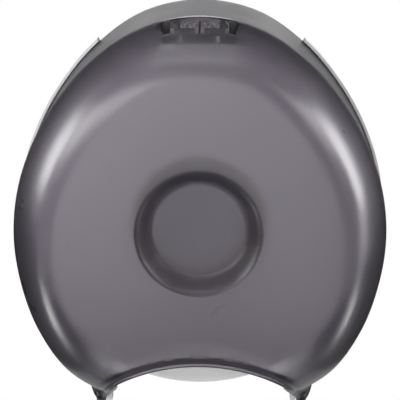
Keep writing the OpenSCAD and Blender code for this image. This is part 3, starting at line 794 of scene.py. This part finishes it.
for side, word in ((-1, "Left"), (1, "Right")):
    size = [(high - low) * mm for low, high in slotShadeBlock.values()]
    x, y, z = ((low + high) / 2 * mm for low, high in slotShadeBlock.values())
    bm = bmesh.new()
    bmesh.ops.create_cube(bm, size=1)
    bmesh.ops.scale(bm, vec=size, verts=bm.verts)
    bmesh.ops.translate(bm, vec=(side * x, -y, z), verts=bm.verts)
    bevelSharp(bm, 0.12)
    addPiece("slotShadeBlock" + word, bm, "cover", slotShadePlastic)
print("inner pieces ready")


# azimuth and elevation from the spindle axis, in degrees; distances and sizes in metres
view = {"azimuth": 0.8, "elevation": 12, "distance": 1.4, "focal": 173.07,
        "shiftX": -0.00365, "shiftY": -0.0249}

# glow is the radiance of the lamp's surface
lamps = {
    "frontSoft": {"azimuth": -4, "elevation": 5, "distance": 2.0, "size": (1.8, 1.8), "glow": 2.0},
    "topSoft": {"azimuth": -10, "elevation": 76, "distance": 1.5, "size": (1.2, 0.9), "glow": 2.0},
    "leftUpper": {"azimuth": -87, "elevation": 18, "distance": 1.1, "size": (0.46, 0.44), "glow": 13.0},
    "leftMiddle": {"azimuth": -57, "elevation": 24, "distance": 1.3, "size": (0.55, 0.38), "glow": 9.0},
    "leftFront": {"azimuth": -31, "elevation": 24, "distance": 1.6, "size": (0.62, 0.44), "glow": 6.0},
    "rightUpper": {"azimuth": 90, "elevation": 16, "distance": 1.1, "size": (0.36, 0.54), "glow": 14.0},
    "rightMiddle": {"azimuth": 66, "elevation": 28, "distance": 1.3, "size": (0.70, 0.44), "glow": 5.5},
    "rightMild": {"azimuth": 84, "elevation": -8, "distance": 1.1, "size": (0.50, 0.36), "glow": 3.5},
    "leftLower": {"azimuth": -76, "elevation": -32, "distance": 1.1, "size": (0.35, 0.26), "glow": 10.0},
    "rightLower": {"azimuth": 80, "elevation": -32, "distance": 1.1, "size": (0.35, 0.26), "glow": 8.5},
}


# puts a camera or lamp round the spindle axis as its settings say, looking at the origin
def addAimed(name, data, settings):
    azimuth, elevation = settings["azimuth"], settings["elevation"]
    holder = bpy.data.objects.new(name, data)
    holder.location = Vector((cosDeg(elevation) * sinDeg(azimuth), -cosDeg(elevation) * cosDeg(azimuth),
                              sinDeg(elevation))) * settings["distance"]
    holder.rotation_euler = (-holder.location).to_track_quat("-Z", "Y").to_euler()
    bpy.context.scene.collection.objects.link(holder)
    return holder


lens = bpy.data.cameras.new("camera")
lens.sensor_width = 36
lens.lens = view["focal"]
lens.shift_x = view["shiftX"]
lens.shift_y = view["shiftY"]
lens.clip_end = 20
bpy.context.scene.camera = addAimed("camera", lens, view)

for name, lamp in lamps.items():
    data = bpy.data.lights.new(name, "AREA")
    data.shape = "RECTANGLE"
    data.size, data.size_y = lamp["size"]
    data.energy = math.pi * lamp["size"][0] * lamp["size"][1] * lamp["glow"]
    addAimed(name, data, lamp)

# floor and sheets, in metres; plain is what lights the object, seen is what the camera sees
stage = {"floor": -0.85, "half": 4.0, "sheetHalf": 0.55, "sheetTop": 0.7, "sheetBack": 2.0,
         "sheetFront": -0.35, "sheetLift": 0.002, "sheetPlain": 0.85, "backGlow": 1.0, "floorGlow": 0.6,
         "worldPlain": 0.045, "floorPlain": 0.08, "floorSeen": 0.85}


# one value for what the camera sees and another for everything else
def cameraOr(tree, plain, seen):
    path = tree.nodes.new("ShaderNodeLightPath")
    choice = tree.nodes.new("ShaderNodeMapRange")
    choice.inputs["To Min"].default_value = plain
    choice.inputs["To Max"].default_value = seen
    link(tree, path.outputs["Is Camera Ray"], choice.inputs["Value"])
    return choice.outputs["Result"]


# dim room that the camera sees as white
world = bpy.data.worlds.new("studio")
bpy.context.scene.world = world
world.use_nodes = True
room = world.node_tree.nodes["Background"]
room.inputs["Color"].default_value = (1, 1, 1, 1)
link(world.node_tree, cameraOr(world.node_tree, stage["worldPlain"], 1.0), room.inputs["Strength"])


# matt floor, pale to the camera and dim to everything else
def floorPaint():
    material, tree, shader, coords, out = newMaterial("floorPaint")
    link(tree, cameraOr(tree, stage["floorPlain"], stage["floorSeen"]), shader.inputs["Base Color"])
    shader.inputs["Roughness"].default_value = 0.9
    return material


# pale sheet, which shines white to the kinds of ray that are named
def whiteSheet(name, rays, glow):
    material, tree, shader, coords, out = newMaterial(name)
    plain = stage["sheetPlain"]
    shader.inputs["Base Color"].default_value = (plain, plain, plain, 1)
    shader.inputs["Roughness"].default_value = 0.9
    path = tree.nodes.new("ShaderNodeLightPath")
    seen = path.outputs[rays[0]]
    for ray in rays[1:]:
        most = tree.nodes.new("ShaderNodeMath")
        most.operation = "MAXIMUM"
        link(tree, seen, most.inputs[0])
        link(tree, path.outputs[ray], most.inputs[1])
        seen = most.outputs["Value"]
    white = tree.nodes.new("ShaderNodeEmission")
    white.inputs["Strength"].default_value = glow
    mix = tree.nodes.new("ShaderNodeMixShader")
    link(tree, seen, mix.inputs["Fac"])
    link(tree, shader.outputs["BSDF"], mix.inputs[1])
    link(tree, white.outputs["Emission"], mix.inputs[2])
    link(tree, mix.outputs["Shader"], out.inputs["Surface"])
    return material


def stagePiece(name, corners, material):
    bm = bmesh.new()
    bm.faces.new([bm.verts.new(c) for c in corners])
    mesh = bpy.data.meshes.new(name)
    bm.to_mesh(mesh)
    bm.free()
    piece = bpy.data.objects.new(name, mesh)
    bpy.context.scene.collection.objects.link(piece)
    mesh.materials.append(material)


def levelCorners(half, front, back, z):
    return [(-half, front, z), (half, front, z), (half, back, z), (-half, back, z)]


half, low, back, top = stage["sheetHalf"], stage["floor"], stage["sheetBack"], stage["sheetTop"]
stagePiece("floor", levelCorners(stage["half"], -stage["half"], stage["half"], low), floorPaint())
mirrored = ("Is Glossy Ray", "Is Transmission Ray")
stagePiece("floorSheet", levelCorners(half, stage["sheetFront"], back, low + stage["sheetLift"]),
           whiteSheet("floorSheet", mirrored, stage["floorGlow"]))
stagePiece("backSheet", [(-half, back, low), (half, back, low), (half, back, top), (-half, back, top)],
           whiteSheet("backSheet", ("Is Camera Ray",) + mirrored, stage["backGlow"]))

bpy.context.scene.view_settings.view_transform = "Standard"
print("stage ready")
